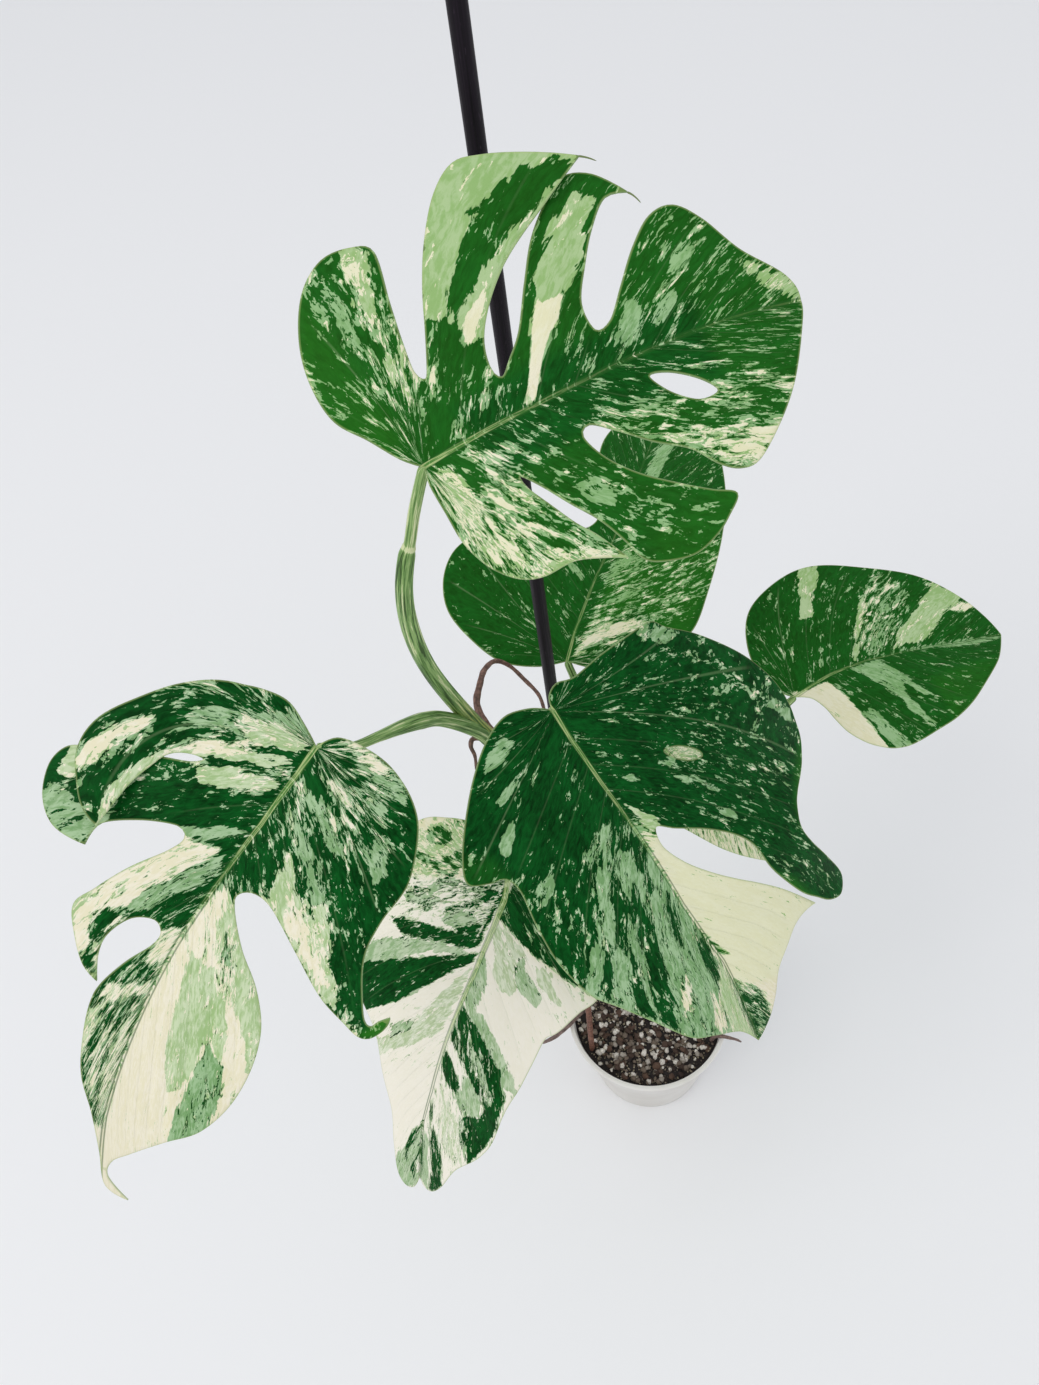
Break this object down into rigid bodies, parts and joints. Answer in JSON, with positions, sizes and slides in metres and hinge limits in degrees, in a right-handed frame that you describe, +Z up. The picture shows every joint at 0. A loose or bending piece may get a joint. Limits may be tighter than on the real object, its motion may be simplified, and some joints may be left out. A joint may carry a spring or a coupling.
{
  "type": "potted variegated monstera plant",
  "caption": "Climbing house plant in a round pot: large heart-shaped and split leaves marbled green and cream, on long stalks with aerial roots, beside a tall thin stake.",
  "frame": {"origin": "middle of the pot's flat underside", "axes": "+Z up; +X to the right and +Y away from the viewer in the reference view"},
  "size_m": [0.5655, 0.4844, 0.9751],
  "materials": {
    "pot_plastic": "milky white, slightly see-through moulded plastic, satin",
    "potting_mix": "rough, damp bark and peat with pale perlite grains",
    "stake_plastic": "near-black plastic-coated stick, satin, with faint lengthwise lines",
    "petiole": "smooth green stalk with pale and dark lengthwise stripes",
    "leaf_marbled": "waxy leaf, dark green with dense cream and grey-green marbling",
    "leaf_dark": "waxy leaf, very dark green with fine pale streaks and grey-green stripes",
    "leaf_pale": "waxy leaf, cream and grey-green with dark green bands",
    "leaf_green": "waxy leaf, deep green with grey-green streaks",
    "leaf_cream": "waxy leaf, pale cream-green with green streaks",
    "root": "brown, dull, finely wrinkled aerial root"
  },
  "bodies": {
    "root": {"pot": "pot_plastic", "potting_mix": "potting_mix", "stake": "stake_plastic", "stem_and_petioles": "petiole", "top_leaf": "leaf_marbled", "middle_leaf": "leaf_dark", "left_leaf": "leaf_pale", "low_leaf": "leaf_pale", "back_leaf": "leaf_green", "right_leaf": "leaf_green", "hidden_leaf": "leaf_cream", "root_arch": "root", "root_short": "root", "root_into_mix": "root", "root_over_left_rim": "root", "root_over_right_rim": "root"}
  },
  "joints": []
}
